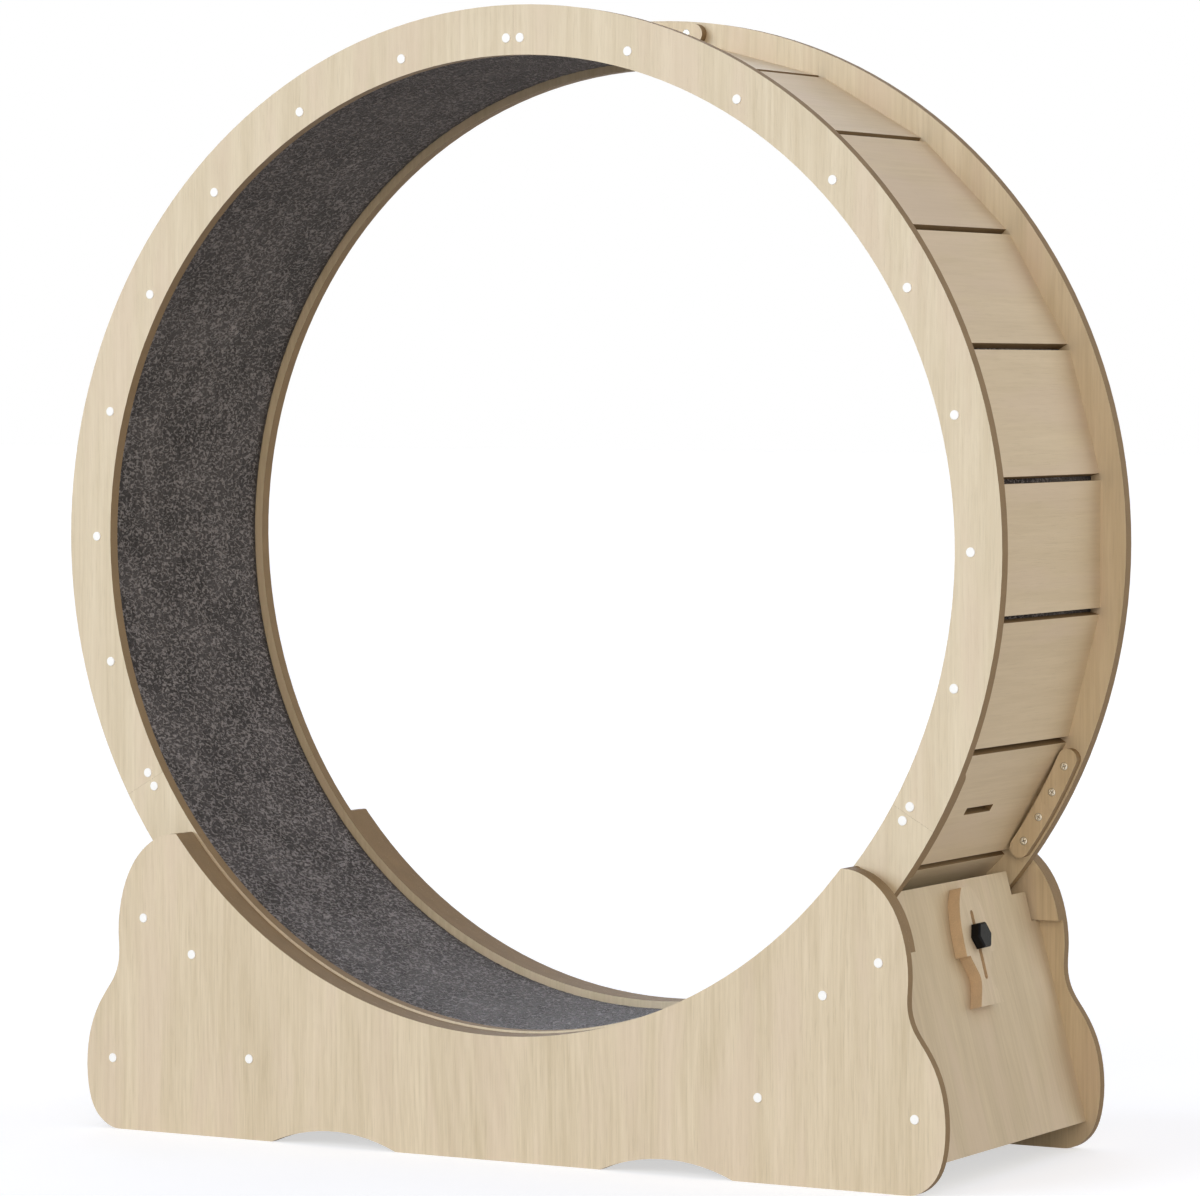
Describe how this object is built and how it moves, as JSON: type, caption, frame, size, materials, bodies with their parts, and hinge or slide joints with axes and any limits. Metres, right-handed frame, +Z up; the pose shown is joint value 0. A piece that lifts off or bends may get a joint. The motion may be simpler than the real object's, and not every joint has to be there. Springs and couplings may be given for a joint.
{
  "type": "cat exercise wheel",
  "caption": "Free-standing running wheel for a cat: rings joined by flat slats, carpeted inside, turning on rollers in a wooden board base with a sliding lock.",
  "frame": {"origin": "on the floor, under the middle of the wheel", "axes": "+Z up; Y along the wheel's axle line, front at -Y; +X to the right, towards the end with the lock"},
  "size_m": [1, 0.3456, 1.0715],
  "materials": {
    "ring_board": "light oak laminate with dark cut edges",
    "slat_board": "light oak laminate, grain across the wheel",
    "base_board": "light oak laminate with dark cut edges",
    "lock_board": "light oak laminate with dark cut edges",
    "carpet": "charcoal looped pile",
    "screw_steel": "zinc plated",
    "axle_steel": "turned",
    "sleeve_aluminium": "satin",
    "cap_plastic": "smooth off-white",
    "roller_core": "moulded",
    "roller_tyre": "smooth",
    "knob_plastic": "moulded, satin"
  },
  "bodies": {
    "base": {"axle_sleeves": "sleeve_aluminium", "base_caps": "cap_plastic", "base_screws": "screw_steel", "front_liner": "base_board", "front_rim_strip": "base_board", "front_side_panel": "base_board", "left_cross_rail": "base_board", "left_end_board": "base_board", "lock_bolt": "axle_steel", "rear_liner": "base_board", "rear_rim_strip": "base_board", "rear_side_panel": "base_board", "right_cross_rail": "base_board", "right_end_board": "base_board", "roller_axles": "axle_steel"},
    "wheel": {"front_ring_segment_1": "ring_board", "front_ring_segment_2": "ring_board", "front_ring_segment_3": "ring_board", "front_splice_plates": "ring_board", "rear_ring_segment_1": "ring_board", "rear_ring_segment_2": "ring_board", "rear_ring_segment_3": "ring_board", "rear_splice_plates": "ring_board", "running_carpet": "carpet", "slat_01": "slat_board", "slat_02": "slat_board", "slat_03": "slat_board", "slat_04": "slat_board", "slat_05": "slat_board", "slat_06": "slat_board", "slat_07": "slat_board", "slat_08": "slat_board", "slat_09": "slat_board", "slat_10": "slat_board", "slat_11": "slat_board", "slat_12": "slat_board", "slat_13": "slat_board", "slat_14": "slat_board", "slat_15": "slat_board", "slat_16": "slat_board", "slat_17": "slat_board", "slat_18": "slat_board", "slat_19": "slat_board", "slat_20": "slat_board", "slat_21": "slat_board", "slat_22": "slat_board", "slat_23": "slat_board", "slat_24": "slat_board", "wheel_caps": "cap_plastic", "wheel_screws": "screw_steel"},
    "front_left_roller": {"front_left_roller_core": "roller_core", "front_left_roller_tyre": "roller_tyre"},
    "front_right_roller": {"front_right_roller_core": "roller_core", "front_right_roller_tyre": "roller_tyre"},
    "rear_left_roller": {"rear_left_roller_core": "roller_core", "rear_left_roller_tyre": "roller_tyre"},
    "rear_right_roller": {"rear_right_roller_core": "roller_core", "rear_right_roller_tyre": "roller_tyre"},
    "lock_plate": {"lock_plate": "lock_board"},
    "lock_knob": {"lock_knob": "knob_plastic"}
  },
  "joints": [
    {"name": "wheel_spin", "type": "hinge", "parent": "base", "child": "wheel", "pos_m": [0, 0, 0.5715], "axis": [0, 1, 0], "continuous": true},
    {"name": "front_left_roller_spin", "type": "hinge", "parent": "base", "child": "front_left_roller", "pos_m": [-0.33884, -0.13575, 0.17337], "axis": [0, 1, 0], "continuous": true},
    {"name": "front_right_roller_spin", "type": "hinge", "parent": "base", "child": "front_right_roller", "pos_m": [0.33884, -0.13575, 0.17337], "axis": [0, 1, 0], "continuous": true},
    {"name": "rear_left_roller_spin", "type": "hinge", "parent": "base", "child": "rear_left_roller", "pos_m": [-0.33884, 0.13575, 0.17337], "axis": [0, 1, 0], "continuous": true},
    {"name": "rear_right_roller_spin", "type": "hinge", "parent": "base", "child": "rear_right_roller", "pos_m": [0.33884, 0.13575, 0.17337], "axis": [0, 1, 0], "continuous": true},
    {"name": "lock_plate_slide", "type": "slide", "parent": "base", "child": "lock_plate", "axis": [-0.2541, 0, 0.9672], "range_m": [-0.021, 0.023]},
    {"name": "lock_knob_turn", "type": "hinge", "parent": "base", "child": "lock_knob", "pos_m": [0.40998, 0, 0.21454], "axis": [0.9672, 0, 0.2541], "range_deg": [0, 360]}
  ],
  "couplings": [
    {"joint": "front_left_roller_spin", "follows": "wheel_spin", "ratio": -22.222},
    {"joint": "front_right_roller_spin", "follows": "wheel_spin", "ratio": -22.222},
    {"joint": "rear_left_roller_spin", "follows": "wheel_spin", "ratio": -22.222},
    {"joint": "rear_right_roller_spin", "follows": "wheel_spin", "ratio": -22.222}
  ]
}
